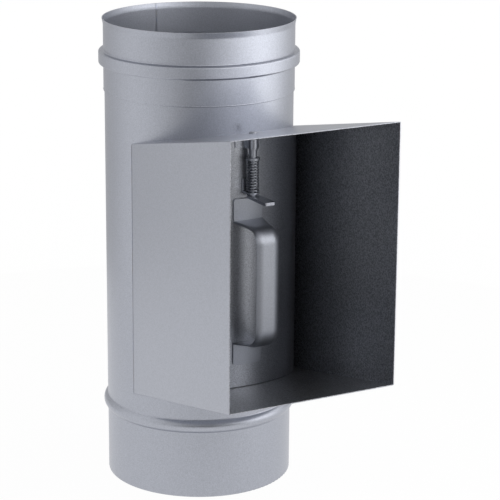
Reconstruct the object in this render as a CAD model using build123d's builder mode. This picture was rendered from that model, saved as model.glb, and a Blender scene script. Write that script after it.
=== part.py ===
from build123d import *
import os
from math import cos, radians, sin, tan

# A short flue duct with a plug-in socket at the top, a spigot at the bottom and a rectangular
# access box at the front, which holds a curved inspection door with a handle and a spring latch.
# The origin is on the duct's axis at its lower edge. +Z runs up the duct and the box opens
# towards -Y. Sizes are in millimetres. Angles round the duct are measured from -Y.

os.makedirs("parts", exist_ok=True)

# Duct: a rolled sheet tube whose lower end is the spigot
duct_radius = 100.0
duct_sheet = 1.0
duct_length = 500.0
spigot_length = 72.9
spigot_ease = 0.2
edge_turn = 1.5
edge_flange = 1.0
bead_height = 14.3
bead_slope = 1.19
bead_crown_radius = 7.6
bead_root_radius = 1.5

# Socket: a sleeve over the duct's upper end, with a square collar bead and a flared lip
socket_sheet = 0.8
socket_gap = 0.2
socket_overlap = 8.0
plug_bead_gap = 4.9
collar_drop = 33.7
collar_height = 14.0
collar_depth = 5.1
collar_flank_rise = 0.6
collar_corner_radius = 1.6
collar_root_radius = 1.0
lip_height = 6.0
lip_flare = 1.2
lip_root_radius = 8.0

# Access box: one folded sheet between the bead and the socket. Its floor and top rise
# towards the mouth, and its sides lie just inside the duct's own width
box_projection = 144.0
box_side_inset = 5.0
box_lower_gap = 34.5
box_upper_gap = 29.5
box_slope = 12.0
box_sheet = 0.8
box_bend_radius = 1.2
weld_gap = 0.1

# Window in the duct, behind the door, with a margin to the box on each side
window_side_margin = 16.0
window_lower_margin = 17.6
window_upper_margin = 32.4
window_corner_radius = 8.0

# Door and its seal. The door is a little more curved than the duct and stands off it at the
# middle, and the seal fills the wedge between the two
door_lift = 9.1
door_curve_ease = 1.0
seal_width = 9.0
seal_setback = 2.0
door_sheet = 1.5
door_clearance = 0.6
contact_gap = 0.1

# Tongues that hang the door on the window's lower edge
tongue_sheet = 1.5
tongue_angle = 12.0
tongue_spread = 20.0
tongue_hook_depth = 12.0
tongue_leg_height = 18.0
tongue_bend_radius = 0.5
seat_gap = 0.3

# Handle: a bow of pressed strip that fills the door from the finger tab to above the floor.
# Its lower leg rises a little from the door and turns up in a wider bend
handle_sheet = 2.0
handle_tab_gap = 1.8
handle_floor_gap = 25.7
handle_standoff = 45.1
handle_upper_bend = 17.0
handle_lower_bend = 24.0
handle_lower_rise = 6.0
handle_grip_flat = 10.6
handle_edge_radius = 12.0
handle_edge_angle = 40.0
handle_foot_width = 33.6
handle_foot_length = 23.0
handle_foot_corner = 3.0

# Latch bolt: thick end up through the box's top, thin end down through the spring
bolt_standoff = 9.7
bolt_radius = 4.2
bolt_show = 1.8
bolt_head_length = 26.7
bolt_tip_chamfer = 1.0
bolt_hole_clearance = 0.6
stem_radius = 3.0
stem_clearance = 0.08
rivet_radius = 2.0
rivet_head_radius = 3.4
rivet_head_height = 0.8

# Guide, washer, spring, bracket, collar and finger tab
guide_sheet = 1.2
guide_clearance = 0.3
guide_height = 9.8
guide_setback = 2.2
guide_foot_width = 30.4
washer_radius = 7.3
washer_thickness = 2.2
spring_length = 33.2
spring_radius = 5.9
spring_wire_radius = 0.75
spring_turns = 10
spring_seat_trim = 0.3
bracket_sheet = 1.5
bracket_width = 14.6
bracket_leg_height = 14.0
bracket_hole_clearance = 0.4
collar_ring_radius = 4.5
collar_ring_height = 1.5
tab_width = 12.0
tab_thickness = 3.2
tab_reach = 36.9
tab_corner_radius = 1.5

# Sizes that follow from the ones above
spigot_radius = duct_radius - spigot_ease
duct_top = duct_length - spigot_length + plug_bead_gap
socket_inner_radius = duct_radius + socket_gap
socket_radius = socket_inner_radius + socket_sheet
socket_bottom = duct_top - socket_overlap
bead_top = spigot_length + bead_height
box_width = 2 * (duct_radius - box_side_inset)
box_bottom = bead_top + box_lower_gap
box_mouth_height = socket_bottom - box_upper_gap - box_bottom
box_mouth_bottom = box_bottom + box_projection * tan(radians(box_slope))
box_mouth_middle = box_mouth_bottom + box_mouth_height / 2
box_reach = duct_radius + box_projection
box_down = Vector(0, cos(radians(box_slope)), -sin(radians(box_slope)))
box_depth = box_reach / cos(radians(box_slope))
window_width = box_width - 2 * window_side_margin
window_height = box_mouth_height - window_lower_margin - window_upper_margin
window_bottom = box_bottom + window_lower_margin
window_middle = window_bottom + window_height / 2
door_face_radius = duct_radius - door_curve_ease
door_inner_radius = door_face_radius - door_sheet
door_front = door_lift + door_face_radius
foot_inner_radius = door_face_radius + contact_gap
bolt_reach = door_front + bolt_standoff


def box_underside_at(reach):
    """Height of the box's lower outside face at this distance from the duct's axis."""
    return box_mouth_bottom - (box_reach - reach) * tan(radians(box_slope))


def box_top_at(reach):
    """Height of the box's upper outside face at this distance from the duct's axis."""
    return box_underside_at(reach) + box_mouth_height


bolt_tip = box_top_at(bolt_reach) + bolt_show
bolt_shoulder = bolt_tip - bolt_head_length
washer_bottom = bolt_shoulder - washer_thickness
spring_bottom = washer_bottom - seat_gap - spring_length
bracket_top = spring_bottom - seat_gap
collar_ring_top = bracket_top - bracket_sheet - seat_gap
tab_top = collar_ring_top - collar_ring_height
tab_bottom = tab_top - tab_thickness
guide_top = box_top_at(door_front - door_sheet) - box_sheet - door_clearance - guide_setback
box_floor = box_underside_at(door_front) + box_sheet / cos(radians(box_slope))
handle_top = tab_bottom - handle_tab_gap - handle_foot_length
handle_bottom = box_floor + handle_floor_gap + handle_foot_length
handle_middle = (handle_top + handle_bottom) / 2


def box_section(inset, mode=Mode.ADD):
    """Rounded rectangle of the box's mouth, this far inside its outer face."""
    with Locations((0, box_mouth_middle)):
        RectangleRounded(
            box_width - 2 * inset,
            box_mouth_height - 2 * inset,
            max(box_bend_radius - inset, box_bend_radius / 4),
            mode=mode,
        )


def window_section(grow, mode=Mode.ADD):
    """Rounded rectangle of the window, made larger all round by this much."""
    with Locations((0, window_middle)):
        RectangleRounded(
            window_width + 2 * grow,
            window_height + 2 * grow,
            window_corner_radius + grow,
            mode=mode,
        )


def sheet_ring(outline, radii, thickness):
    """Section of a rolled sheet: a filleted outline, thickened towards the duct's axis."""
    with BuildLine() as wall:
        FilletPolyline(*outline, radius=radii)
        offset(amount=thickness, side=Side.LEFT, closed=True)
    make_face(wall.edges())


def door_strip(width, thickness):
    """Section of a curved foot that lies on the door's outer face."""
    with Locations((0, -door_lift)):
        Circle(foot_inner_radius + thickness)
        Circle(foot_inner_radius, mode=Mode.SUBTRACT)
    with Locations((0, -door_front)):
        Rectangle(width, foot_inner_radius, mode=Mode.INTERSECT)


def save(part, label):
    """Label one piece and write it to its own file."""
    part.label = label
    export_step(part, f"parts/{label}.step")


# Duct tube: spigot with a turned-in edge, rolled bead, plain wall with the window
bead_crown = bead_slope * bead_height / 2
with BuildPart() as duct_tube:
    with BuildSketch(Plane.XZ):
        sheet_ring(
            [
                (spigot_radius - edge_turn - edge_flange, 0),
                (spigot_radius, 0),
                (spigot_radius, spigot_length),
                (spigot_radius + bead_crown, spigot_length + bead_height / 2),
                (duct_radius, bead_top),
                (duct_radius, duct_top),
            ],
            [edge_turn, bead_root_radius, bead_crown_radius, bead_root_radius],
            duct_sheet,
        )
    revolve(axis=Axis.Z)
    with BuildSketch(Plane.XZ.offset(duct_radius + duct_sheet)):
        window_section(0)
    extrude(amount=-duct_radius, mode=Mode.SUBTRACT)
save(duct_tube.part, "duct_tube")

# Socket sleeve: laps the duct's upper end and takes the next duct's spigot
collar_top = duct_length - collar_drop
collar_bottom = collar_top - collar_height
with BuildPart() as socket_sleeve:
    with BuildSketch(Plane.XZ):
        sheet_ring(
            [
                (socket_radius, socket_bottom),
                (socket_radius, collar_bottom),
                (socket_radius + collar_depth, collar_bottom + collar_flank_rise),
                (socket_radius + collar_depth, collar_top - collar_flank_rise),
                (socket_radius, collar_top),
                (socket_radius, duct_length - lip_height),
                (socket_radius + lip_flare, duct_length),
            ],
            [
                collar_root_radius,
                collar_corner_radius,
                collar_corner_radius,
                collar_root_radius,
                lip_root_radius,
            ],
            socket_sheet,
        )
    revolve(axis=Axis.Z)
    split(bisect_by=Plane.XY.offset(duct_length), keep=Keep.BOTTOM)
save(socket_sleeve.part, "socket_sleeve")

# Access box: the folded sheet runs down from the mouth to the duct's wall
with BuildPart() as access_box:
    with BuildSketch(Plane.XZ.offset(box_reach)):
        box_section(0)
        box_section(box_sheet, mode=Mode.SUBTRACT)
    extrude(amount=box_depth, dir=box_down)
    with BuildSketch(Plane.XY):
        Circle(duct_radius + weld_gap)
    extrude(amount=duct_length, mode=Mode.SUBTRACT)
    with BuildSketch(Plane.XY.offset(bolt_shoulder)):
        with Locations((0, -bolt_reach)):
            Circle(bolt_radius + bolt_hole_clearance)
    extrude(amount=bolt_head_length, mode=Mode.SUBTRACT)
save(access_box.part, "access_box")

# Door: a curved panel that fills the box, cut to its sloped floor and top
with BuildPart() as door_panel:
    with BuildSketch(Plane.XY):
        with Locations((0, -door_lift)):
            Circle(door_face_radius)
            Circle(door_inner_radius, mode=Mode.SUBTRACT)
    extrude(amount=duct_length)
    with BuildSketch(Plane.XZ.offset(box_reach)):
        with Locations((0, box_mouth_middle)):
            Rectangle(
                box_width - 2 * (box_sheet + door_clearance),
                box_mouth_height - 2 * (box_sheet + door_clearance),
            )
    extrude(amount=box_depth, dir=box_down, mode=Mode.INTERSECT)
save(door_panel.part, "door_panel")

# Door seal: a gasket round the window, between the duct's wall and the door
with BuildPart() as door_seal:
    with BuildSketch(Plane.XY):
        with Locations((0, -door_lift)):
            Circle(door_inner_radius - contact_gap)
        Circle(duct_radius + contact_gap, mode=Mode.SUBTRACT)
    extrude(amount=duct_length)
    with BuildSketch(Plane.XZ.offset(door_front)):
        window_section(seal_setback + seal_width)
        window_section(seal_setback, mode=Mode.SUBTRACT)
    extrude(amount=-door_front, mode=Mode.INTERSECT)
save(door_seal.part, "door_seal")


def make_tongue(start_angle):
    """Bent strip on the door's back that hooks over the window's lower edge."""
    hook_radius = duct_radius - duct_sheet - seat_gap - door_lift
    leg_radius = door_inner_radius - contact_gap
    throat = window_bottom + seat_gap
    out = Vector(sin(radians(start_angle)), -cos(radians(start_angle)), 0)
    with BuildPart() as tongue:
        with BuildSketch(Plane((0, -door_lift, 0), x_dir=out, z_dir=out.cross(Vector(0, 0, 1)))):
            sheet_ring(
                [
                    (hook_radius, throat - tongue_hook_depth),
                    (hook_radius, throat),
                    (leg_radius, throat),
                    (leg_radius, throat + tongue_leg_height),
                ],
                [tongue_bend_radius, tongue_bend_radius + tongue_sheet],
                tongue_sheet,
            )
        revolve(axis=Axis((0, -door_lift, 0), (0, 0, 1)), revolution_arc=tongue_angle)
    return tongue.part


door_tongue_left = make_tongue(-tongue_spread - tongue_angle / 2)
save(door_tongue_left, "door_tongue_left")
door_tongue_right = make_tongue(tongue_spread - tongue_angle / 2)
save(door_tongue_right, "door_tongue_right")

# Handle: grip, bend and leg share one curved section, and the leg widens to the foot
grip_half_flat = handle_grip_flat / 2
grip_face = door_front + handle_standoff
leg_root = door_lift + foot_inner_radius
edge_inner_radius = handle_edge_radius - handle_sheet


def grip_section():
    """Strip section: flat in the middle, with both edges curved back."""
    points = {}
    for name, radius in (("outer", handle_edge_radius), ("inner", edge_inner_radius)):
        for place, turn in (("mid", handle_edge_angle / 2), ("end", handle_edge_angle)):
            across = grip_half_flat + radius * sin(radians(turn))
            back = radius * cos(radians(turn)) - handle_edge_radius
            points[name, place] = (across, back)
    with BuildLine() as strip:
        for side in (1, -1):
            outer_mid, outer_end, inner_mid, inner_end = (
                (side * across, back) for across, back in points.values()
            )
            ThreePointArc((side * grip_half_flat, 0), outer_mid, outer_end)
            Line(outer_end, inner_end)
            ThreePointArc(inner_end, inner_mid, (side * grip_half_flat, -handle_sheet))
        Line((-grip_half_flat, 0), (grip_half_flat, 0))
        Line((-grip_half_flat, -handle_sheet), (grip_half_flat, -handle_sheet))
    make_face(strip.edges())


def leg_root_section():
    """Flat strip section at the foot, cut at the same points as the curved one."""
    half = handle_foot_width / 2
    grip_half = grip_half_flat + handle_edge_radius * sin(radians(handle_edge_angle))
    knee = half * grip_half_flat / grip_half
    across = [-half, -knee, knee, half]
    upper = [(x, 0) for x in across]
    lower = [(x, -handle_sheet) for x in reversed(across)]
    with BuildLine() as strip:
        Polyline(*upper, *lower, close=True)
    make_face(strip.edges())


def handle_half(bend_radius, leg_slope):
    """Half the handle, from its middle up to the foot. From the door the leg slopes to the middle."""
    slope_sin, slope_cos = sin(radians(leg_slope)), cos(radians(leg_slope))
    leg_length = (grip_face - leg_root - bend_radius * (1 - slope_sin)) / slope_cos
    turn_height = handle_top - leg_length * slope_sin - bend_radius * slope_cos
    turn_reach = grip_face - bend_radius
    grip_end = Plane((0, -grip_face, turn_height), x_dir=(1, 0, 0), z_dir=(0, 0, -1))
    leg_end = Plane(
        (0, -turn_reach - bend_radius * slope_sin, turn_height + bend_radius * slope_cos),
        x_dir=(1, 0, 0),
        z_dir=(0, -slope_cos, -slope_sin),
    )
    with BuildPart() as half:
        with BuildSketch(grip_end):
            grip_section()
        extrude(amount=turn_height - handle_middle)
        with BuildSketch(leg_end):
            grip_section()
        revolve(
            axis=Axis((0, -turn_reach, turn_height), (1, 0, 0)),
            revolution_arc=90 - leg_slope,
        )
        with BuildSketch(leg_end):
            grip_section()
        with BuildSketch(Plane((0, -leg_root, handle_top), x_dir=(1, 0, 0), z_dir=(0, -1, 0))):
            leg_root_section()
        loft()
        with BuildSketch(Plane.XY.offset(handle_top - handle_sheet)):
            door_strip(handle_foot_width, handle_sheet)
        extrude(amount=handle_foot_length + handle_sheet)
        fillet(
            half.edges().filter_by(Axis.Y).group_by(Axis.Z)[-1],
            radius=handle_foot_corner,
        )
    return half.part


with BuildPart() as door_handle:
    add(handle_half(handle_lower_bend, handle_lower_rise))
    mirror(about=Plane.XY.offset(handle_middle), mode=Mode.REPLACE)
    add(handle_half(handle_upper_bend, 0))
save(door_handle.part, "door_handle")

# Bolt guide: a strap round the bolt with a foot on each side
guide_bore = bolt_radius + guide_clearance
guide_shell = guide_bore + guide_sheet
with BuildPart() as bolt_guide:
    with BuildSketch(Plane.XY.offset(guide_top - guide_height)):
        door_strip(guide_foot_width, guide_sheet)
        with Locations((0, -bolt_reach)):
            Circle(guide_shell)
        with Locations((0, -bolt_reach / 2)):
            Rectangle(2 * guide_shell, bolt_reach)
        with Locations((0, -door_lift)):
            Circle(foot_inner_radius, mode=Mode.SUBTRACT)
        with Locations((0, -bolt_reach)):
            Circle(guide_bore, mode=Mode.SUBTRACT)
        with Locations((0, -bolt_reach / 2)):
            Rectangle(2 * guide_bore, bolt_reach, mode=Mode.SUBTRACT)
    extrude(amount=guide_height)
save(bolt_guide.part, "bolt_guide")

# Latch bolt: tip, thick head, shoulder, stem through the spring, riveted end under the tab
with BuildPart() as latch_bolt:
    with BuildSketch(Plane.XZ):
        with BuildLine():
            Polyline(
                (0, bolt_tip),
                (bolt_radius - bolt_tip_chamfer, bolt_tip),
                (bolt_radius, bolt_tip - bolt_tip_chamfer),
                (bolt_radius, bolt_shoulder),
                (stem_radius, bolt_shoulder),
                (stem_radius, tab_top),
                (rivet_radius, tab_top),
                (rivet_radius, tab_bottom),
                (rivet_head_radius, tab_bottom),
                (rivet_head_radius - rivet_head_height / 2, tab_bottom - rivet_head_height),
                (0, tab_bottom - rivet_head_height),
                close=True,
            )
        make_face()
    revolve(axis=Axis.Z)
latch_bolt_part = latch_bolt.part.moved(Location((0, -bolt_reach, 0)))
save(latch_bolt_part, "latch_bolt")

# Shoulder washer: the spring's upper seat
with BuildPart() as shoulder_washer:
    with BuildSketch(Plane.XY.offset(washer_bottom)):
        with Locations((0, -bolt_reach)):
            Circle(washer_radius)
            Circle(stem_radius + stem_clearance, mode=Mode.SUBTRACT)
    extrude(amount=washer_thickness)
save(shoulder_washer.part, "shoulder_washer")

# Latch spring: a helix with its end turns cut flat at the seats
with BuildPart() as latch_spring:
    wire_start = spring_bottom - spring_seat_trim + spring_wire_radius
    wire_rise = spring_length + 2 * spring_seat_trim - 2 * spring_wire_radius
    with BuildLine():
        coil = Helix(
            pitch=wire_rise / spring_turns,
            height=wire_rise,
            radius=spring_radius,
            center=(0, -bolt_reach, wire_start),
        )
    with BuildSketch(Plane(coil @ 0, x_dir=(1, 0, 0), z_dir=coil % 0)):
        Circle(spring_wire_radius)
    sweep(is_frenet=True)
    with BuildSketch(Plane.XY.offset(spring_bottom)):
        with Locations((0, -bolt_reach)):
            Circle(spring_radius + 2 * spring_wire_radius)
    extrude(amount=spring_length, mode=Mode.INTERSECT)
save(latch_spring.part, "latch_spring")

# Spring bracket: an angle with its leg on the door and a hole for the stem
with BuildPart() as spring_bracket:
    with BuildSketch(Plane.XY.offset(bracket_top - bracket_sheet)):
        with Locations((0, -bolt_reach)):
            Circle(bracket_width / 2)
        with Locations((0, -bolt_reach / 2)):
            Rectangle(bracket_width, bolt_reach)
        with Locations((0, -door_lift)):
            Circle(foot_inner_radius, mode=Mode.SUBTRACT)
        with Locations((0, -bolt_reach)):
            Circle(stem_radius + bracket_hole_clearance, mode=Mode.SUBTRACT)
    extrude(amount=bracket_sheet)
    with BuildSketch(Plane.XY.offset(bracket_top - bracket_sheet)):
        door_strip(bracket_width, bracket_sheet)
    extrude(amount=bracket_leg_height)
save(spring_bracket.part, "spring_bracket")

# Stop collar: bears on the bracket's underside and ends the bolt's rise
with BuildPart() as stop_collar:
    with BuildSketch(Plane.XY.offset(tab_top)):
        with Locations((0, -bolt_reach)):
            Circle(collar_ring_radius)
            Circle(stem_radius + stem_clearance, mode=Mode.SUBTRACT)
    extrude(amount=collar_ring_height)
save(stop_collar.part, "stop_collar")

# Finger tab: flat strip with a round root, riveted to the bolt
with BuildPart() as finger_tab:
    with BuildSketch(Plane.XY.offset(tab_bottom)) as tab_outline:
        with Locations((0, -bolt_reach)):
            Circle(tab_width / 2)
        with Locations((0, -bolt_reach - tab_reach / 2)):
            Rectangle(tab_width, tab_reach)
        fillet(tab_outline.vertices().group_by(Axis.Y)[0], radius=tab_corner_radius)
        with Locations((0, -bolt_reach)):
            Circle(rivet_radius + stem_clearance, mode=Mode.SUBTRACT)
    extrude(amount=tab_thickness)
save(finger_tab.part, "finger_tab")
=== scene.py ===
import math
import random
from functools import partial

import bmesh
import bpy
from bpy.props import FloatProperty, FloatVectorProperty, IntProperty, PointerProperty
from bpy.types import Operator, Panel, PropertyGroup
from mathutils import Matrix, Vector
from mathutils.bvhtree import BVHTree


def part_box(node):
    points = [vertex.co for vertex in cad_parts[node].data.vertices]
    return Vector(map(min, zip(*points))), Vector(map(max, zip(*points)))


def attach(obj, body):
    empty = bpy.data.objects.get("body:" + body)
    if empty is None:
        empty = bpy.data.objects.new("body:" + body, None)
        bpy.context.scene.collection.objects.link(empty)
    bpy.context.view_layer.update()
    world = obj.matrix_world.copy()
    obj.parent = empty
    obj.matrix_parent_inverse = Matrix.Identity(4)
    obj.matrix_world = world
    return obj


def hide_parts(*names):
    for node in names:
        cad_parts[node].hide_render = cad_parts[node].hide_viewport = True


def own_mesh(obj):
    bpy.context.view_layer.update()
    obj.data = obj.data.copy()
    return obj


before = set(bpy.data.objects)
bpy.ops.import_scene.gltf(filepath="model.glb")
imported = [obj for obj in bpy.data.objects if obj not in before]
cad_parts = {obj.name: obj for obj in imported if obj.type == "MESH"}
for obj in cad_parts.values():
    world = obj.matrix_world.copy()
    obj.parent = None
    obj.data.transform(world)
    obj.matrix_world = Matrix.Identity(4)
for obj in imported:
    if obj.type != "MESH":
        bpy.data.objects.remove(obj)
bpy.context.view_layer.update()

bl_info = {
    "name": "Flue duct with inspection door",
    "version": (1, 0, 0),
    "blender": (4, 5, 0),
    "location": "View3D > Sidebar > Flue duct",
    "description": "Finishes, welds, latch spring and studio for a flue duct with a door",
    "category": "Object",
}


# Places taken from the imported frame, in metres

TUBE_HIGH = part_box("duct_tube")[1]
SLEEVE_LOW, SLEEVE_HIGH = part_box("socket_sleeve")
SPRING_LOW, SPRING_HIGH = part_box("latch_spring")
BOX_LOW, BOX_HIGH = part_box("access_box")

# The box's slope as rise over run, and sizes of the sheet metal in metres, as the solids have them

BOX_SLOPE = math.tan(math.radians(12.0))
BOX_BEND_RADIUS = 0.0012
BOX_HALF_SHEET = 0.0004
TUBE_WALL_MIDDLE = 0.0995
SLEEVE_WALL_MIDDLE = 0.1006

# Heights where the long welds start above the spigot's turned-in edge, and a place behind the duct

SPIGOT_EDGE_OUTSIDE = 0.0034
SPIGOT_EDGE_INSIDE = 0.0042
BEHIND_DUCT = 0.2


class FlueFinishes(PropertyGroup):
    """Colours and grain of the sheet metal and the fittings."""

    sheet_colour: FloatVectorProperty(
        name="Sheet colour",
        description="Colour of the satin stainless sheet",
        subtype="COLOR",
        default=(0.403, 0.419, 0.470),
        min=0.0,
        max=1.0,
    )
    sheet_roughness: FloatProperty(
        name="Sheet roughness",
        description="How broad the reflections in the sheet are",
        default=0.36,
        min=0.0,
        max=1.0,
    )
    # Painted shade: this tint, with light and dark specks, is multiplied into the access box's
    # inner faces
    inside_shade_tint: FloatVectorProperty(
        name="Inside tint",
        description="Tint of the access box's inner faces",
        subtype="COLOR",
        default=(1.0, 0.985, 0.93),
        min=0.0,
        max=1.0,
    )
    # Painted shade: the door's colour is the sheet's, made a little darker and most of all less
    # blue, for the door's place deep in the box
    door_shaded_colour: FloatVectorProperty(
        name="Door colour",
        description="Colour of the door's sheet",
        subtype="COLOR",
        default=(0.398, 0.410, 0.444),
        min=0.0,
        max=1.0,
    )
    fitting_colour: FloatVectorProperty(
        name="Fitting colour",
        description="Colour of the pressed strip fittings on the door",
        subtype="COLOR",
        default=(0.400, 0.416, 0.460),
        min=0.0,
        max=1.0,
    )
    bolt_colour: FloatVectorProperty(
        name="Bolt colour",
        description="Colour of the turned bolt, its washer and its collar",
        subtype="COLOR",
        default=(0.390, 0.405, 0.445),
        min=0.0,
        max=1.0,
    )
    wire_colour: FloatVectorProperty(
        name="Spring wire colour",
        description="Colour of the drawn spring wire",
        subtype="COLOR",
        default=(0.357, 0.370, 0.405),
        min=0.0,
        max=1.0,
    )
    seal_colour: FloatVectorProperty(
        name="Seal colour",
        description="Colour of the woven heat-proof seal",
        subtype="COLOR",
        default=(0.20, 0.19, 0.18),
        min=0.0,
        max=1.0,
    )
    grain_size: FloatProperty(
        name="Grain size",
        description="Size of the fine grain of the satin finish",
        subtype="DISTANCE",
        unit="LENGTH",
        default=0.0011,
        min=0.0001,
    )


class FlueFittings(PropertyGroup):
    """Sizes of the welds, the sleeve's edge and the latch spring."""

    seam_width: FloatProperty(
        name="Seam width",
        description="Width of the long welds of the tube and the socket",
        subtype="DISTANCE",
        unit="LENGTH",
        default=0.0018,
        min=0.0002,
    )
    seam_height: FloatProperty(
        name="Seam height",
        description="How far the long welds stand proud",
        subtype="DISTANCE",
        unit="LENGTH",
        default=0.00016,
        min=0.00002,
    )
    box_weld_radius: FloatProperty(
        name="Box weld radius",
        description="Radius of the weld bead where the box meets the duct",
        subtype="DISTANCE",
        unit="LENGTH",
        default=0.00025,
        min=0.00005,
    )
    sleeve_edge_radius: FloatProperty(
        name="Sleeve edge radius",
        description="Radius of the round bead along the socket sleeve's lower edge",
        subtype="DISTANCE",
        unit="LENGTH",
        default=0.0007,
        min=0.0001,
    )
    spring_turns: IntProperty(
        name="Spring turns",
        description="Open turns of the latch spring between its closed ends",
        default=10,
        min=3,
    )
    spring_wire: FloatProperty(
        name="Spring wire radius",
        description="Radius of the spring's wire",
        subtype="DISTANCE",
        unit="LENGTH",
        default=0.00075,
        min=0.0002,
    )


class FlueStudio(PropertyGroup):
    """Camera and light of the studio round the duct."""

    camera_place: FloatVectorProperty(
        name="Camera place",
        description="Where the camera stands, from the duct's lower edge",
        subtype="XYZ",
        unit="LENGTH",
        default=(-1.002, -1.9134, 0.855),
    )
    camera_tilt: FloatProperty(
        name="Camera tilt",
        description="The camera's angle from straight down",
        subtype="ANGLE",
        default=math.radians(74.2545),
    )
    camera_turn: FloatProperty(
        name="Camera turn",
        description="The camera's angle round the duct",
        subtype="ANGLE",
        default=math.radians(-27.6028),
    )
    lens: FloatProperty(
        name="Lens",
        description="Focal length in millimetres on a sensor 36 mm wide",
        default=149.51,
        min=10.0,
    )
    shift: FloatProperty(
        name="Shift",
        description="Sideways shift that sets the duct left of the middle",
        default=0.1045,
    )
    floor_colour: FloatVectorProperty(
        name="Floor colour",
        description="Colour of the plain pale floor",
        subtype="COLOR",
        default=(0.90, 0.905, 0.91),
        min=0.0,
        max=1.0,
    )
    side_light: FloatProperty(
        name="Side light",
        description="Level of the soft light all round the duct, before the screens are added",
        default=0.55,
        min=0.0,
    )
    screen_light: FloatProperty(
        name="Screen light",
        description="Brightness of the soft screens round the duct",
        default=1.17,
        min=0.0,
    )
    room_light: FloatProperty(
        name="Room light",
        description="Brightness of the pale room",
        default=1.2,
        min=0.0,
    )


# Materials

def start_finish(name, metallic=1.0):
    """New material. Returns it, its node tree, its Principled shader and its object coordinates."""
    material = bpy.data.materials.new(name)
    material.use_nodes = True
    tree = material.node_tree
    tree.nodes.clear()
    output = tree.nodes.new("ShaderNodeOutputMaterial")
    shader = tree.nodes.new("ShaderNodeBsdfPrincipled")
    shader.inputs["Metallic"].default_value = metallic
    tree.links.new(shader.outputs["BSDF"], output.inputs["Surface"])
    place = tree.nodes.new("ShaderNodeTexCoord").outputs["Object"]
    return material, tree, shader, place


def finish_parts(material):
    """Node tree, Principled shader and object coordinates of a finish that is already made."""
    tree = material.node_tree
    by_type = {node.type: node for node in tree.nodes}
    return tree, by_type["BSDF_PRINCIPLED"], by_type["TEX_COORD"].outputs["Object"]


def stretched(tree, place, stretch):
    """Coordinates scaled by a different amount along each axis."""
    mapping = tree.nodes.new("ShaderNodeMapping")
    mapping.inputs["Scale"].default_value = stretch
    tree.links.new(place, mapping.inputs["Vector"])
    return mapping.outputs["Vector"]


def noise(tree, place, scale, detail, rough=0.5):
    """Noise texture's value, between 0 and 1."""
    texture = tree.nodes.new("ShaderNodeTexNoise")
    texture.inputs["Scale"].default_value = scale
    texture.inputs["Detail"].default_value = detail
    texture.inputs["Roughness"].default_value = rough
    tree.links.new(place, texture.inputs["Vector"])
    return texture.outputs["Fac"]


def spread(tree, value, low, high, from_low=0.3, from_high=0.7):
    """Value mapped from the noise's usual range to low and high."""
    node = tree.nodes.new("ShaderNodeMapRange")
    node.inputs["From Min"].default_value = from_low
    node.inputs["From Max"].default_value = from_high
    node.inputs["To Min"].default_value = low
    node.inputs["To Max"].default_value = high
    tree.links.new(value, node.inputs["Value"])
    return node.outputs["Result"]


def feed(tree, source, socket):
    """Links a node's output to a socket, or sets the socket to a plain value."""
    if isinstance(source, bpy.types.NodeSocket):
        tree.links.new(source, socket)
    else:
        socket.default_value = source


def math_step(tree, operation, first, second=0.0):
    """Result of one math operation on two values."""
    node = tree.nodes.new("ShaderNodeMath")
    node.operation = operation
    feed(tree, first, node.inputs[0])
    feed(tree, second, node.inputs[1])
    return node.outputs["Value"]


def blend_colour(tree, share, first, second, blend="MIX"):
    """Blend of two colours by a share."""
    mix = tree.nodes.new("ShaderNodeMix")
    mix.data_type = "RGBA"
    mix.blend_type = blend
    tree.links.new(share, mix.inputs["Factor"])
    feed(tree, first, mix.inputs["A"])
    feed(tree, second, mix.inputs["B"])
    return mix.outputs["Result"]


def scaled(colour, factor):
    """Colour made lighter or darker, with full alpha."""
    return (*(channel * factor for channel in colour), 1.0)


def add_relief(tree, shader, height, strength, distance):
    """Gives a finish fine relief. Returns the bump node."""
    bump = tree.nodes.new("ShaderNodeBump")
    bump.inputs["Strength"].default_value = strength
    bump.inputs["Distance"].default_value = distance
    tree.links.new(height, bump.inputs["Height"])
    tree.links.new(bump.outputs["Normal"], shader.inputs["Normal"])
    return bump


def satin_steel(
    name,
    colour,
    roughness,
    grain,
    rolling=(60.0, 60.0, 1.5),
    edge=0.0004,
    sparkle=0.2,
    speck=0.085,
):
    """Satin sheet steel: fine grain, faint rolling lines, soft clouds and rounded edges."""
    material, tree, shader, place = start_finish(name)
    fine = noise(tree, place, scale=1.0 / grain, detail=2.0, rough=0.6)
    finer = noise(tree, place, scale=2.6 / grain, detail=1.0)
    cloud = noise(tree, place, scale=9.0, detail=3.0)
    lines = noise(tree, stretched(tree, place, rolling), scale=14.0, detail=4.0, rough=0.65)

    speckle = spread(tree, fine, 0.0, 1.0, from_low=0.35, from_high=0.65)
    grained = blend_colour(tree, speckle, scaled(colour, 1.0 - speck), scaled(colour, 1.0 + speck))
    cloud_share = spread(tree, cloud, 0.0, 0.10)
    clouded = blend_colour(tree, cloud_share, grained, scaled(colour, 0.86))
    tree.links.new(clouded, shader.inputs["Base Color"])

    grain_rough = spread(tree, finer, roughness - 0.045, roughness + 0.045)
    line_rough = spread(tree, lines, -0.02, 0.02)
    tree.links.new(math_step(tree, "ADD", grain_rough, line_rough), shader.inputs["Roughness"])

    height = math_step(tree, "ADD", fine, math_step(tree, "MULTIPLY", lines, 0.35))
    bump = add_relief(tree, shader, height, strength=sparkle, distance=grain * 0.35)
    bevel = tree.nodes.new("ShaderNodeBevel")
    bevel.samples = 6
    bevel.inputs["Radius"].default_value = edge
    tree.links.new(bevel.outputs["Normal"], bump.inputs["Normal"])
    return material


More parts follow.
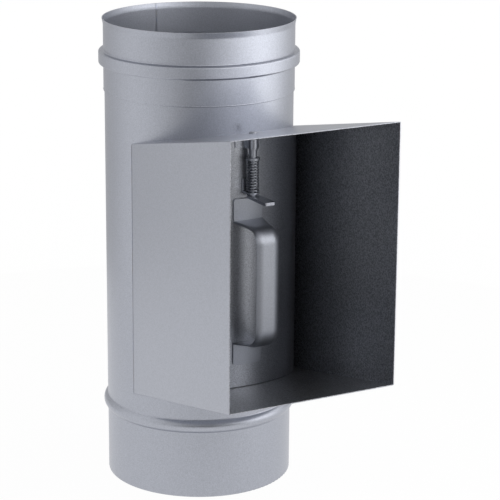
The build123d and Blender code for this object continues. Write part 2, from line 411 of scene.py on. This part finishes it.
def box_inside(tree, place):
    """1 on the access box's inner faces and 0 on its outer ones."""
    axes = tree.nodes.new("ShaderNodeSeparateXYZ")
    tree.links.new(place, axes.inputs["Vector"])
    across = math_step(tree, "ABSOLUTE", axes.outputs["X"])
    between_sides = math_step(tree, "LESS_THAN", across, BOX_HIGH.x - BOX_HALF_SHEET)
    rise = math_step(tree, "MULTIPLY", axes.outputs["Y"], BOX_SLOPE)
    level = math_step(tree, "ADD", axes.outputs["Z"], rise)
    mouth = mouth_underside()
    middle = (mouth + BOX_HIGH.z) / 2 + BOX_LOW.y * BOX_SLOPE
    half_height = (BOX_HIGH.z - mouth) / 2 - BOX_HALF_SHEET
    away = math_step(tree, "ABSOLUTE", math_step(tree, "SUBTRACT", level, middle))
    between_floors = math_step(tree, "LESS_THAN", away, half_height)
    return math_step(tree, "MULTIPLY", between_sides, between_floors)


def shade_box_inside(material, tint):
    """Paints shade on the access box's inner faces: their colour is multiplied by a tint with light
    and dark specks.
    """
    tree, shader, place = finish_parts(material)
    fine = noise(tree, place, scale=640.0, detail=1.0)
    specks = spread(tree, fine, 0.0, 1.0, from_low=0.38, from_high=0.62)
    shade_tint = blend_colour(tree, specks, scaled(tint, 0.72), scaled(tint, 1.36))
    bare = shader.inputs["Base Color"].links[0].from_socket
    shaded = blend_colour(tree, box_inside(tree, place), bare, shade_tint, blend="MULTIPLY")
    tree.links.new(shaded, shader.inputs["Base Color"])


def rough_inside(material, wall_middle, gain=0.14):
    """Makes the inner side of a round sheet rougher than its outer side."""
    tree, shader, place = finish_parts(material)
    flat = tree.nodes.new("ShaderNodeVectorMath")
    flat.operation = "LENGTH"
    tree.links.new(stretched(tree, place, (1.0, 1.0, 0.0)), flat.inputs[0])
    inside = math_step(tree, "LESS_THAN", flat.outputs["Value"], wall_middle)
    added = math_step(tree, "MULTIPLY", inside, gain)
    outer = shader.inputs["Roughness"].links[0].from_socket
    tree.links.new(math_step(tree, "ADD", outer, added), shader.inputs["Roughness"])


def turned_steel(name, colour, roughness, rings):
    """Turned or drawn steel: fine rings across the part's axis and a fine grain."""
    material, tree, shader, place = start_finish(name)
    along = stretched(tree, place, (40.0, 40.0, rings))
    ring = noise(tree, along, scale=4.0, detail=3.0, rough=0.7)
    fine = noise(tree, place, scale=1800.0, detail=2.0)
    share = spread(tree, ring, 0.0, 1.0)
    ringed = blend_colour(tree, share, scaled(colour, 0.86), scaled(colour, 1.08))
    tree.links.new(ringed, shader.inputs["Base Color"])
    grain_rough = spread(tree, fine, roughness - 0.06, roughness + 0.06)
    tree.links.new(grain_rough, shader.inputs["Roughness"])
    add_relief(tree, shader, ring, strength=0.15, distance=0.0001)
    return material


def weld_metal(name, colour):
    """Weld bead: rippled metal with straw and blue heat tint."""
    material, tree, shader, place = start_finish(name)
    patch = noise(tree, place, scale=140.0, detail=3.0)
    fine = noise(tree, place, scale=2400.0, detail=2.0)
    red, green, blue = colour
    straw_tint = (red * 1.02, green * 0.95, blue * 0.84, 1.0)
    blue_tint = (red * 0.86, green * 0.92, blue * 1.04, 1.0)
    heat = blend_colour(tree, spread(tree, patch, 0.0, 1.0), straw_tint, blue_tint)
    tree.links.new(heat, shader.inputs["Base Color"])
    tree.links.new(spread(tree, fine, 0.30, 0.46), shader.inputs["Roughness"])
    add_relief(tree, shader, fine, strength=0.2, distance=0.00008)
    return material


def yarns(tree, place, direction):
    """Bands of yarn that follow each other along one axis."""
    wave = tree.nodes.new("ShaderNodeTexWave")
    wave.bands_direction = direction
    wave.inputs["Scale"].default_value = 260.0
    wave.inputs["Distortion"].default_value = 1.2
    tree.links.new(place, wave.inputs["Vector"])
    return wave.outputs["Fac"]


def woven_seal(name, colour):
    """Woven heat-proof tape: crossing yarns, fine fibres and a dusty sheen."""
    material, tree, shader, place = start_finish(name, metallic=0.0)
    crossing = math_step(tree, "MULTIPLY", yarns(tree, place, "X"), yarns(tree, place, "Z"))
    fibre = noise(tree, place, scale=2600.0, detail=3.0)
    shade = math_step(tree, "ADD", crossing, spread(tree, fibre, -0.2, 0.2))
    woven = blend_colour(tree, shade, scaled(colour, 0.55), scaled(colour, 1.35))
    tree.links.new(woven, shader.inputs["Base Color"])
    tree.links.new(spread(tree, fibre, 0.82, 0.96), shader.inputs["Roughness"])
    shader.inputs["Sheen Weight"].default_value = 0.25
    add_relief(tree, shader, shade, strength=0.6, distance=0.0004)
    return material


def finish_node(node, material):
    """Gives a carried-over CAD node its material."""
    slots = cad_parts[node].data.materials
    slots.clear()
    slots.append(material)


# Mesh code

def mesh_object(name, build, material):
    """Puts an object in the scene, with a material and a mesh that a function fills."""
    mesh = bpy.data.meshes.new(name)
    shape = bmesh.new()
    build(shape)
    shape.to_mesh(mesh)
    shape.free()
    mesh.materials.append(material)
    made = bpy.data.objects.new(name, mesh)
    bpy.context.scene.collection.objects.link(made)
    return made


def new_piece(name, build, material, body):
    """Makes a smooth piece and lets it ride on a body."""
    piece = mesh_object(name, build, material)
    polygons = piece.data.polygons
    polygons.foreach_set("use_smooth", [True] * len(polygons))
    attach(piece, body)
    return piece


def skin_rings(shape, rings, closed_path=False):
    """Joins rings of points, all with as many points, into one closed skin that faces out."""
    rows = [[shape.verts.new(point) for point in ring] for ring in rings]
    count = len(rows[0])
    pairs = list(zip(rows, rows[1:]))
    if closed_path:
        pairs.append((rows[-1], rows[0]))
    for lower, upper in pairs:
        for i in range(count):
            j = (i + 1) % count
            shape.faces.new((lower[i], lower[j], upper[j], upper[i]))
    if not closed_path:
        shape.faces.new(reversed(rows[0]))
        shape.faces.new(rows[-1])
    bmesh.ops.recalc_face_normals(shape, faces=shape.faces)


def wall_tree(node):
    """Search tree of a CAD node, for finding its walls."""
    return BVHTree.FromObject(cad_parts[node], bpy.context.evaluated_depsgraph_get())


def back_radius(node, height):
    """Outer radius of a round node, found from behind at one height."""
    behind = Vector((0.0, BEHIND_DUCT, height))
    return wall_tree(node).ray_cast(behind, Vector((0.0, -1.0, 0.0)))[0].y


def mouth_underside():
    """Height of the underside of the access box's floor at its mouth, found from below."""
    below = Vector((0.0, BOX_LOW.y + 0.0001, 0.0))
    return wall_tree("access_box").ray_cast(below, Vector((0.0, 0.0, 1.0)))[0].z


def box_outline(spacing=0.0015, bend_steps=6):
    """Points round the access box's mouth, seen along the box, with its bends rounded."""
    bend = BOX_BEND_RADIUS
    left, right = bend - BOX_HIGH.x, BOX_HIGH.x - bend
    low, high = mouth_underside() + bend, BOX_HIGH.z - bend
    bends = []
    for x, z, start in (
        (right, low, -90.0),
        (right, high, 0.0),
        (left, high, 90.0),
        (left, low, 180.0),
    ):
        for step in range(bend_steps + 1):
            angle = math.radians(start + 90.0 / bend_steps * step)
            bends.append((x + bend * math.cos(angle), z + bend * math.sin(angle)))
    outline = []
    for (x0, z0), (x1, z1) in zip(bends, bends[1:] + bends[:1]):
        parts = max(1, round(math.hypot(x1 - x0, z1 - z0) / spacing))
        for k in range(parts):
            outline.append((x0 + (x1 - x0) * k / parts, z0 + (z1 - z0) * k / parts))
    return outline


def seam_rings(tree, low, high, out, width, height):
    """Rings of a long weld up the back wall of a tube. out is 1 on its outside and -1 inside."""
    step, ripple_pitch, root_share = 0.0004, 0.0016, 0.6
    start_y = BEHIND_DUCT if out > 0 else 0.0
    rows = round((high - low) / step)
    dice = random.Random(7)
    rings = []
    for row in range(rows + 1):
        z = low + (high - low) * row / rows
        hit = tree.ray_cast(Vector((0.0, start_y, z)), Vector((0.0, -out, 0.0)))[0]
        if hit is None:
            raise RuntimeError(f"the seam found no wall at height {z:.4f}")
        wave = math.cos(2 * math.pi * z / ripple_pitch)
        ripple = 1.0 + 0.22 * wave + dice.uniform(-0.06, 0.06)
        half = width / 2 * (1.0 + 0.06 * math.sin(z * 190.0) + dice.uniform(-0.02, 0.02))
        ring = []
        for share in (-1.0, -0.6, -0.2, 0.2, 0.6, 1.0):
            proud = height * (1 - share * share) * ripple
            ring.append(Vector((share * half, hit.y + out * proud, z)))
        for share in (0.5, -0.5):
            ring.append(Vector((share * half, hit.y - out * height * root_share, z)))
        rings.append(ring)
    return rings


def path_tube(points, radius, sides=10, closed=True):
    """Rings of a round bead along a path. The radius is a number, or a function of the ring."""
    rings = []
    count = len(points)
    for i, point in enumerate(points):
        ahead = points[(i + 1) % count] if closed or i + 1 < count else point
        behind = points[i - 1] if closed or i > 0 else point
        along = (ahead - behind).normalized()
        side = along.cross(Vector((0.0, 0.0, 1.0)))
        if side.length < 0.2:
            side = along.cross(Vector((0.0, 1.0, 0.0)))
        side.normalize()
        up = side.cross(along).normalized()
        size = radius(i) if callable(radius) else radius
        ring = []
        for k in range(sides):
            angle = 2 * math.pi * k / sides
            ring.append(point + side * math.cos(angle) * size + up * math.sin(angle) * size)
        rings.append(ring)
    return rings


# Operators

class FLUE_OT_duct_sheet(Operator):
    """Gives the duct tube and the socket sleeve their satin sheet finish"""

    bl_idname = "flue.duct_sheet"
    bl_label = "Duct and socket sheet"

    def execute(self, context):
        look = context.scene.flue_finishes
        for node, name, wall_middle in (
            ("duct_tube", "duct_satin_sheet", TUBE_WALL_MIDDLE),
            ("socket_sleeve", "socket_satin_sheet", SLEEVE_WALL_MIDDLE),
        ):
            sheet = satin_steel(
                name,
                look.sheet_colour,
                roughness=look.sheet_roughness,
                grain=look.grain_size,
                speck=0.10,
            )
            rough_inside(sheet, wall_middle)
            finish_node(node, sheet)
        return {"FINISHED"}


class FLUE_OT_access_box(Operator):
    """Gives the access box its folded sheet finish"""

    bl_idname = "flue.access_box"
    bl_label = "Access box"

    def execute(self, context):
        look = context.scene.flue_finishes
        sheet = satin_steel(
            "box_satin_sheet",
            look.sheet_colour,
            roughness=look.sheet_roughness,
            grain=look.grain_size,
            rolling=(60.0, 1.5, 60.0),
        )
        # Painted shade on the box's inner faces, as a speckled tint
        shade_box_inside(sheet, look.inside_shade_tint)
        finish_node("access_box", sheet)
        return {"FINISHED"}


class FLUE_OT_door(Operator):
    """Gives the door and its tongues their finish"""

    bl_idname = "flue.door"
    bl_label = "Door"

    def execute(self, context):
        look = context.scene.flue_finishes
        # The door's sheet takes the darker colour as painted shade
        sheet = satin_steel(
            "door_satin_sheet",
            look.door_shaded_colour,
            roughness=look.sheet_roughness,
            grain=look.grain_size,
            speck=0.24,
        )
        finish_node("door_panel", sheet)
        strip = satin_steel(
            "tongue_strip",
            look.fitting_colour,
            roughness=0.42,
            grain=look.grain_size,
            sparkle=0.08,
        )
        for node in ("door_tongue_left", "door_tongue_right"):
            finish_node(node, strip)
        return {"FINISHED"}


class FLUE_OT_handle(Operator):
    """Gives the bow handle its pressed strip finish"""

    bl_idname = "flue.handle"
    bl_label = "Handle"

    def execute(self, context):
        look = context.scene.flue_finishes
        strip = satin_steel(
            "handle_pressed_strip",
            look.fitting_colour,
            roughness=0.45,
            grain=look.grain_size,
            edge=0.0005,
            sparkle=0.12,
        )
        finish_node("door_handle", strip)
        return {"FINISHED"}


class FLUE_OT_latch(Operator):
    """Gives the guide, bracket, bolt, washer, collar and finger tab their finishes"""

    bl_idname = "flue.latch"
    bl_label = "Latch"

    def execute(self, context):
        look = context.scene.flue_finishes
        strip = satin_steel(
            "latch_pressed_strip",
            look.fitting_colour,
            roughness=0.30,
            grain=look.grain_size,
            sparkle=0.08,
        )
        for node in ("bolt_guide", "spring_bracket", "finger_tab"):
            finish_node(node, strip)
        turned = turned_steel("bolt_turned_steel", look.bolt_colour, roughness=0.42, rings=2400.0)
        for node in ("latch_bolt", "shoulder_washer", "stop_collar"):
            finish_node(node, turned)
        return {"FINISHED"}


class FLUE_OT_spring(Operator):
    """Makes the latch spring with closed, flattened end turns"""

    bl_idname = "flue.spring"
    bl_label = "Latch spring"

    def execute(self, context):
        look = context.scene.flue_finishes
        sizes = context.scene.flue_fittings
        wire = sizes.spring_wire
        centre_x = (SPRING_LOW.x + SPRING_HIGH.x) / 2
        centre_y = (SPRING_LOW.y + SPRING_HIGH.y) / 2
        radius = (SPRING_HIGH.x - SPRING_LOW.x) / 2 - wire
        low, high = SPRING_LOW.z, SPRING_HIGH.z
        inner = high - low - 2 * wire
        closed_turns = 1.0
        closed_rise = 1.6 * wire
        ground_off = 0.35 * wire
        turns = sizes.spring_turns + 2 * closed_turns
        steps_per_turn = 40

        def height_at(turn):
            from_end = min(turn, turns - turn)
            if from_end < closed_turns:
                rise = closed_rise * (from_end / closed_turns) ** 1.5
            else:
                open_rise = (inner - 2 * closed_rise) / (turns - 2 * closed_turns)
                rise = closed_rise + open_rise * (from_end - closed_turns)
            return rise if turn <= turns / 2 else inner - rise

        path = []
        for step in range(round(turns * steps_per_turn) + 1):
            turn = step / steps_per_turn
            angle = 2 * math.pi * turn - math.pi / 2
            x = centre_x + radius * math.cos(angle)
            y = centre_y + radius * math.sin(angle)
            path.append(Vector((x, y, low + wire + height_at(turn))))

        def build(shape):
            rings = path_tube(path, wire, sides=12, closed=False)
            for ring in rings:
                for point in ring:
                    point.z = min(max(point.z, low + ground_off), high - ground_off)
            skin_rings(shape, rings)

        material = turned_steel("spring_drawn_wire", look.wire_colour, roughness=0.26, rings=60.0)
        spring = new_piece("coil_spring", build, material, "duct")
        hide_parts("latch_spring")
        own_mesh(spring)
        return {"FINISHED"}


class FLUE_OT_seal(Operator):
    """Gives the seal between duct and door its woven finish"""

    bl_idname = "flue.seal"
    bl_label = "Door seal"

    def execute(self, context):
        look = context.scene.flue_finishes
        finish_node("door_seal", woven_seal("seal_woven_tape", look.seal_colour))
        return {"FINISHED"}


class FLUE_OT_seams(Operator):
    """Lays the long welds down the back of the tube and of the socket, inside and outside"""

    bl_idname = "flue.seams"
    bl_label = "Long seams"

    def execute(self, context):
        sizes = context.scene.flue_fittings
        look = context.scene.flue_finishes
        metal = weld_metal("seam_weld", look.sheet_colour)
        tube = wall_tree("duct_tube")
        sleeve = wall_tree("socket_sleeve")
        outside, inside = 1.0, -1.0

        # Each weld stops a little short of the sheets' ends
        gap, wide_gap = 0.0003, 0.0004
        runs = (
            ("tube_seam_outside", tube, SPIGOT_EDGE_OUTSIDE, SLEEVE_LOW.z - gap, outside),
            ("tube_seam_inside", tube, SPIGOT_EDGE_INSIDE, TUBE_HIGH.z - wide_gap, inside),
            ("socket_seam_outside", sleeve, SLEEVE_LOW.z + wide_gap, SLEEVE_HIGH.z - gap, outside),
            ("socket_seam_inside", sleeve, TUBE_HIGH.z + wide_gap, SLEEVE_HIGH.z - gap, inside),
        )
        for name, tree, low, high, out in runs:
            rings = seam_rings(tree, low, high, out, sizes.seam_width, sizes.seam_height)
            new_piece(name, partial(skin_rings, rings=rings), metal, "duct")
        return {"FINISHED"}


class FLUE_OT_sleeve_edge(Operator):
    """Rolls the socket sleeve's lower edge into a fine round bead"""

    bl_idname = "flue.sleeve_edge"
    bl_label = "Sleeve edge"

    def execute(self, context):
        look = context.scene.flue_finishes
        sizes = context.scene.flue_fittings
        radius = sizes.sleeve_edge_radius
        plain_wall = SLEEVE_LOW.z + 0.004
        sunk = 0.6 * radius
        reach = back_radius("socket_sleeve", plain_wall) - sunk
        path = []
        for turn in range(360):
            angle = math.radians(turn)
            x, y = reach * math.cos(angle), reach * math.sin(angle)
            path.append(Vector((x, y, SLEEVE_LOW.z + radius)))

        def build(shape):
            skin_rings(shape, path_tube(path, radius, sides=12), closed_path=True)

        sheet = satin_steel(
            "sleeve_edge_sheet",
            look.sheet_colour,
            roughness=0.30,
            grain=look.grain_size,
        )
        new_piece("sleeve_edge_bead", build, sheet, "duct")
        return {"FINISHED"}


class FLUE_OT_box_weld(Operator):
    """Lays the fine weld where the access box meets the duct"""

    bl_idname = "flue.box_weld"
    bl_label = "Box weld"

    def execute(self, context):
        sizes = context.scene.flue_fittings
        look = context.scene.flue_finishes
        duct_radius = back_radius("duct_tube", (BOX_LOW.z + BOX_HIGH.z) / 2)
        path = []
        for x, z in box_outline():
            y = -math.sqrt(duct_radius**2 - x * x)
            path.append(Vector((x, y, z - (y - BOX_LOW.y) * BOX_SLOPE)))
        dice = random.Random(11)
        radii = []
        for i in range(len(path)):
            swell = 1.0 + 0.12 * math.sin(i * 1.3) + dice.uniform(-0.05, 0.05)
            radii.append(sizes.box_weld_radius * swell)

        def build(shape):
            skin_rings(shape, path_tube(path, lambda i: radii[i]), closed_path=True)

        metal = weld_metal("box_weld", look.sheet_colour)
        new_piece("box_weld_bead", build, metal, "duct")
        return {"FINISHED"}


# Studio. Each screen has its middle in degrees from the camera to the right, its half width in
# degrees and its level. The one with a level below 0 is the dark side where the camera stands.

UPPER_SCREENS = ((-80.0, 65.0, 0.33), (68.0, 80.0, 1.36))
LOWER_SCREENS = ((-75.0, 65.0, 0.33), (12.0, 48.0, -0.65), (78.0, 42.0, 1.10))

# Places in metres, the top screen's level, the floor's share of plain white and a circle's steps

SCREEN_DISTANCE = 0.80
RING_FOOT, RING_SPLIT, RING_TOP = 0.002, 0.30, 1.20
TOP_SCREEN_HEIGHT = 1.60
TOP_SCREEN_LEVEL = 0.13
FLOOR_RADIUS = 14.0
WHITE_SHARE = 0.97
ROUND_STEPS = 96


def around(turn, distance, height):
    """Point round the duct. A turn of 0 faces the camera, and plus is to the picture's right."""
    studio = bpy.context.scene.flue_studio
    to_camera = Vector((studio.camera_place[0], studio.camera_place[1], 0.0)).normalized()
    right = Vector((0.0, 0.0, 1.0)).cross(to_camera)
    angle = math.radians(turn)
    flat = to_camera * math.cos(angle) + right * math.sin(angle)
    return flat * distance + Vector((0.0, 0.0, height))


def screen_level(turn, screens):
    """Level of soft light at a turn: the studio's own, and the screens with their faded sides."""
    level = bpy.context.scene.flue_studio.side_light
    for middle, half_width, strength in screens:
        away = abs((turn - middle + 180.0) % 360.0 - 180.0)
        if away < half_width:
            level += strength * math.cos(math.pi / 2 * away / half_width) ** 2
    return max(level, 0.0)


def glowing_cloth(name):
    """Material that only gives out light. Returns it, its node tree and its strength socket."""
    material = bpy.data.materials.new(name)
    material.use_nodes = True
    tree = material.node_tree
    tree.nodes.clear()
    glow = tree.nodes.new("ShaderNodeEmission")
    output = tree.nodes.new("ShaderNodeOutputMaterial")
    tree.links.new(glow.outputs["Emission"], output.inputs["Surface"])
    return material, tree, glow.inputs["Strength"]


def floor_paper(colour):
    """Plain pale paper. The camera, metal and glass see it as white, with a faint shadow."""
    material = bpy.data.materials.new("floor_paper")
    material.use_nodes = True
    tree = material.node_tree
    tree.nodes.clear()
    paper = tree.nodes.new("ShaderNodeBsdfDiffuse")
    paper.inputs["Color"].default_value = (*colour, 1.0)
    white = tree.nodes.new("ShaderNodeEmission")
    white.inputs["Strength"].default_value = 1.0
    path = tree.nodes.new("ShaderNodeLightPath")
    seen = path.outputs["Is Camera Ray"]
    for ray in ("Is Glossy Ray", "Is Transmission Ray"):
        seen = math_step(tree, "MAXIMUM", seen, path.outputs[ray])
    mix = tree.nodes.new("ShaderNodeMixShader")
    tree.links.new(math_step(tree, "MULTIPLY", seen, WHITE_SHARE), mix.inputs["Fac"])
    tree.links.new(paper.outputs["BSDF"], mix.inputs[1])
    tree.links.new(white.outputs["Emission"], mix.inputs[2])
    output = tree.nodes.new("ShaderNodeOutputMaterial")
    tree.links.new(mix.outputs["Shader"], output.inputs["Surface"])
    return material


def disc(shape, radius, height=0.0):
    """Fills a bmesh with a level disc on the duct's axis."""
    bmesh.ops.create_circle(shape, cap_ends=True, radius=radius, segments=ROUND_STEPS)
    bmesh.ops.translate(shape, verts=shape.verts, vec=(0.0, 0.0, height))


def light_ring(name, low, high, screens):
    """Round wall of soft light about the duct. The camera doesn't see it."""
    turns = [360.0 * k / ROUND_STEPS - 180.0 for k in range(ROUND_STEPS)]

    def build(shape):
        lower, upper = (
            [shape.verts.new(around(turn, SCREEN_DISTANCE, z)) for turn in turns]
            for z in (low, high)
        )
        for k in range(ROUND_STEPS):
            following = (k + 1) % ROUND_STEPS
            shape.faces.new((lower[k], lower[following], upper[following], upper[k]))

    cloth, tree, strength = glowing_cloth(name + "_cloth")
    level = tree.nodes.new("ShaderNodeAttribute")
    level.attribute_name = "level"
    screen_light = bpy.context.scene.flue_studio.screen_light
    shone = math_step(tree, "MULTIPLY", level.outputs["Fac"], screen_light)
    tree.links.new(shone, strength)
    ring = mesh_object(name, build, cloth)
    levels = ring.data.attributes.new("level", "FLOAT", "POINT")
    levels.data.foreach_set("value", [screen_level(turn, screens) for turn in turns] * 2)
    ring.visible_camera = False


def top_screen():
    """Round screen of soft light above the duct. The camera doesn't see it."""
    cloth, _, strength = glowing_cloth("top_screen_cloth")
    strength.default_value = TOP_SCREEN_LEVEL
    build = partial(disc, radius=SCREEN_DISTANCE, height=TOP_SCREEN_HEIGHT)
    screen = mesh_object("top_screen", build, cloth)
    screen.visible_camera = False


def pale_room(level):
    """Makes the world an even white room."""
    world = bpy.data.worlds.new("pale_room")
    bpy.context.scene.world = world
    world.use_nodes = True
    back = world.node_tree.nodes["Background"]
    back.inputs["Color"].default_value = (1.0, 1.0, 1.0, 1.0)
    back.inputs["Strength"].default_value = level


def photo_camera(studio):
    """Sets up the camera that sees the duct as the photograph does."""
    camera_data = bpy.data.cameras.new("photo_camera")
    camera_data.sensor_width = 36.0
    camera_data.lens = studio.lens
    camera_data.shift_x = studio.shift
    camera_data.clip_start, camera_data.clip_end = 0.05, 60.0
    camera = bpy.data.objects.new("photo_camera", camera_data)
    bpy.context.scene.collection.objects.link(camera)
    camera.location = studio.camera_place
    camera.rotation_euler = (studio.camera_tilt, 0.0, studio.camera_turn)
    bpy.context.scene.camera = camera


class FLUE_OT_studio(Operator):
    """Sets the floor, the pale room, the soft lights and the camera"""

    bl_idname = "flue.studio"
    bl_label = "Studio"

    def execute(self, context):
        studio = context.scene.flue_studio
        pale_room(studio.room_light)
        paper = floor_paper(studio.floor_colour)
        floor = mesh_object("studio_floor", partial(disc, radius=FLOOR_RADIUS), paper)
        light_ring("lower_light_ring", RING_FOOT, RING_SPLIT, LOWER_SCREENS)
        light_ring("upper_light_ring", RING_SPLIT, RING_TOP, UPPER_SCREENS)
        top_screen()
        photo_camera(studio)
        context.scene.view_settings.view_transform = "Standard"
        return {"FINISHED"}


class FLUE_PT_panel(Panel):
    """Lists the pieces and sizes of the flue duct"""

    bl_idname = "FLUE_PT_panel"
    bl_label = "Flue duct"
    bl_space_type = "VIEW_3D"
    bl_region_type = "UI"
    bl_category = "Flue duct"

    def draw(self, context):
        layout = self.layout
        for settings in (
            context.scene.flue_finishes,
            context.scene.flue_fittings,
            context.scene.flue_studio,
        ):
            box = layout.box()
            for name in settings.__annotations__:
                box.prop(settings, name)
        for operator in OPERATORS:
            layout.operator(operator.bl_idname)


OPERATORS = (
    FLUE_OT_studio,
    FLUE_OT_duct_sheet,
    FLUE_OT_access_box,
    FLUE_OT_door,
    FLUE_OT_handle,
    FLUE_OT_latch,
    FLUE_OT_spring,
    FLUE_OT_seal,
    FLUE_OT_seams,
    FLUE_OT_sleeve_edge,
    FLUE_OT_box_weld,
)
CLASSES = (FlueFinishes, FlueFittings, FlueStudio, *OPERATORS, FLUE_PT_panel)


def register():
    for item in CLASSES:
        bpy.utils.register_class(item)
    bpy.types.Scene.flue_finishes = PointerProperty(type=FlueFinishes)
    bpy.types.Scene.flue_fittings = PointerProperty(type=FlueFittings)
    bpy.types.Scene.flue_studio = PointerProperty(type=FlueStudio)


def unregister():
    del bpy.types.Scene.flue_studio
    del bpy.types.Scene.flue_fittings
    del bpy.types.Scene.flue_finishes
    for item in reversed(CLASSES):
        bpy.utils.unregister_class(item)


def main():
    """Registers the add-on and makes every piece."""
    register()
    for operator in OPERATORS:
        group, name = operator.bl_idname.split(".")
        getattr(getattr(bpy.ops, group), name)()


if __name__ == "__main__":
    main()
